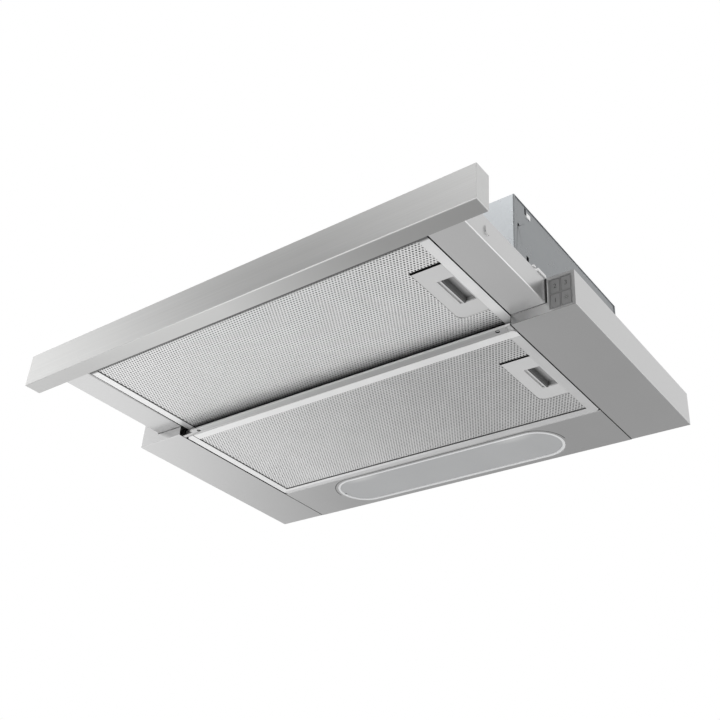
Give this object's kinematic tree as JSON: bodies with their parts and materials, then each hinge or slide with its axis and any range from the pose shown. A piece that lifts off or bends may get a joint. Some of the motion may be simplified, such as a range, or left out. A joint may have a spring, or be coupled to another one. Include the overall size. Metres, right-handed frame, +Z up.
{
  "type": "telescopic range hood",
  "caption": "Built-in pull-out range hood: fixed tray with lamp and grease filter, sliding filter drawer with a steel fascia, galvanised blower box and round duct collar.",
  "frame": {"origin": "under the middle of the hood with its drawer pulled out, at the level of its underside", "axes": "+X to the user's right, +Y towards the wall, +Z up"},
  "size_m": [0.6, 0.458, 0.2235],
  "materials": {
    "tray_paint": "silver-grey satin paint",
    "stainless": "brushed along its length",
    "zinc_sheet": "galvanised, faintly spangled",
    "runner_steel": "bright zinc plated",
    "fastener_steel": "zinc plated",
    "filter_aluminium": "bright extruded aluminium, fine speckle",
    "mesh_aluminium": "layers of stretched mesh",
    "dark_plastic": "fine grained moulding",
    "grey_plastic": "satin moulding",
    "pale_plastic": "satin moulding",
    "white_plastic": "smooth moulding",
    "cage_brass": "pressed strip",
    "lens_plastic": "frosted translucent plastic",
    "lamp_glass": "opal glass",
    "lamp_box_paint": "white gloss",
    "ceramic": "glazed",
    "motor_steel": "dark lacquered laminations",
    "capacitor_case": "smooth can"
  },
  "bodies": {
    "body": {"cheek_left": "tray_paint", "cheek_right": "tray_paint", "front_rail": "tray_paint", "lamp_panel": "tray_paint", "top_plate": "zinc_sheet", "housing_wrap": "zinc_sheet", "housing_side_left": "zinc_sheet", "housing_side_right": "zinc_sheet", "housing_rivets": "fastener_steel", "scroll_left": "dark_plastic", "scroll_right": "dark_plastic", "motor_bracket": "zinc_sheet", "motor_stator": "motor_steel", "motor_end_caps": "zinc_sheet", "casing_screws": "fastener_steel", "capacitor": "capacitor_case", "terminal_box": "dark_plastic", "terminal_lid": "dark_plastic", "cable_gland": "dark_plastic", "outlet_collar": "dark_plastic", "flap_pin": "fastener_steel", "lamp_lens": "lens_plastic", "lamp_reflector": "lamp_box_paint", "lamp_holders": "ceramic", "lamp_bulbs": "lamp_glass", "runner_hangers": "zinc_sheet", "runner_fixed_left": "runner_steel", "runner_fixed_right": "runner_steel", "drawer_glides": "white_plastic", "control_bezel": "grey_plastic", "switch_block": "dark_plastic", "drawer_switch": "dark_plastic"},
    "drawer": {"fascia": "stainless", "fascia_back": "zinc_sheet", "drawer_side_left": "tray_paint", "drawer_side_right": "tray_paint", "drawer_rear_bar": "tray_paint", "drawer_top": "tray_paint", "runner_moving_left": "runner_steel", "runner_moving_right": "runner_steel", "drawer_filter_frame": "filter_aluminium", "drawer_filter_mesh": "mesh_aluminium", "drawer_latch_plate": "pale_plastic", "drawer_screws": "fastener_steel"},
    "cage_left": {"ball_cage_left": "cage_brass"},
    "cage_right": {"ball_cage_right": "cage_brass"},
    "fixed_filter": {"fixed_filter_frame": "filter_aluminium", "fixed_filter_mesh": "mesh_aluminium", "fixed_latch_plate": "pale_plastic"},
    "fixed_latch": {"fixed_latch": "white_plastic"},
    "drawer_latch": {"drawer_latch": "white_plastic"},
    "flap_front": {"flap_front": "grey_plastic"},
    "flap_rear": {"flap_rear": "grey_plastic"},
    "blower": {"blower_wheel": "pale_plastic", "motor_rotor": "runner_steel"},
    "button_one": {"button_one": "grey_plastic"},
    "button_two": {"button_two": "grey_plastic"},
    "button_three": {"button_three": "grey_plastic"},
    "button_light": {"button_light": "grey_plastic"},
    "switch_plunger": {"switch_plunger": "white_plastic"}
  },
  "joints": [
    {"name": "drawer_slide", "type": "slide", "parent": "body", "child": "drawer", "axis": [0, -1, 0], "range_m": [-0.1575, 0]},
    {"name": "cage_left_slide", "type": "slide", "parent": "body", "child": "cage_left", "axis": [0, -1, 0], "range_m": [-0.07875, 0]},
    {"name": "cage_right_slide", "type": "slide", "parent": "body", "child": "cage_right", "axis": [0, -1, 0], "range_m": [-0.07875, 0]},
    {"name": "fixed_filter_hinge", "type": "hinge", "parent": "body", "child": "fixed_filter", "pos_m": [-0.2278, 0.05375, 0.0012], "axis": [0, 1, 0], "range_deg": [0, 75]},
    {"name": "fixed_latch_slide", "type": "slide", "parent": "fixed_filter", "child": "fixed_latch", "axis": [-1, 0, 0], "range_m": [0, 0.003], "stiffness_N_per_m": 400, "springref_m": -0.004},
    {"name": "drawer_latch_slide", "type": "slide", "parent": "drawer", "child": "drawer_latch", "axis": [-1, 0, 0], "range_m": [0, 0.003], "stiffness_N_per_m": 400, "springref_m": -0.004},
    {"name": "flap_front_hinge", "type": "hinge", "parent": "body", "child": "flap_front", "pos_m": [0, 0.084, 0.18655], "axis": [-1, 0, 0], "range_deg": [0, 75]},
    {"name": "flap_rear_hinge", "type": "hinge", "parent": "body", "child": "flap_rear", "pos_m": [0, 0.084, 0.18655], "axis": [1, 0, 0], "range_deg": [0, 75]},
    {"name": "blower_spin", "type": "hinge", "parent": "body", "child": "blower", "pos_m": [0, 0.03901, 0.11702], "axis": [1, 0, 0], "continuous": true},
    {"name": "button_one_press", "type": "slide", "parent": "body", "child": "button_one", "axis": [0, 1, 0], "range_m": [0, 0.0025], "stiffness_N_per_m": 500, "springref_m": -0.002},
    {"name": "button_two_press", "type": "slide", "parent": "body", "child": "button_two", "axis": [0, 1, 0], "range_m": [0, 0.0025], "stiffness_N_per_m": 500, "springref_m": -0.002},
    {"name": "button_three_press", "type": "slide", "parent": "body", "child": "button_three", "axis": [0, 1, 0], "range_m": [0, 0.0025], "stiffness_N_per_m": 500, "springref_m": -0.002},
    {"name": "button_light_press", "type": "slide", "parent": "body", "child": "button_light", "axis": [0, 1, 0], "range_m": [0, 0.0025], "stiffness_N_per_m": 500, "springref_m": -0.002},
    {"name": "switch_plunger_press", "type": "slide", "parent": "body", "child": "switch_plunger", "axis": [0, 1, 0], "range_m": [0, 0.0015], "stiffness_N_per_m": 400, "springref_m": -0.002}
  ],
  "couplings": [
    {"joint": "cage_left_slide", "follows": "drawer_slide", "ratio": 0.5},
    {"joint": "cage_right_slide", "follows": "drawer_slide", "ratio": 0.5}
  ]
}
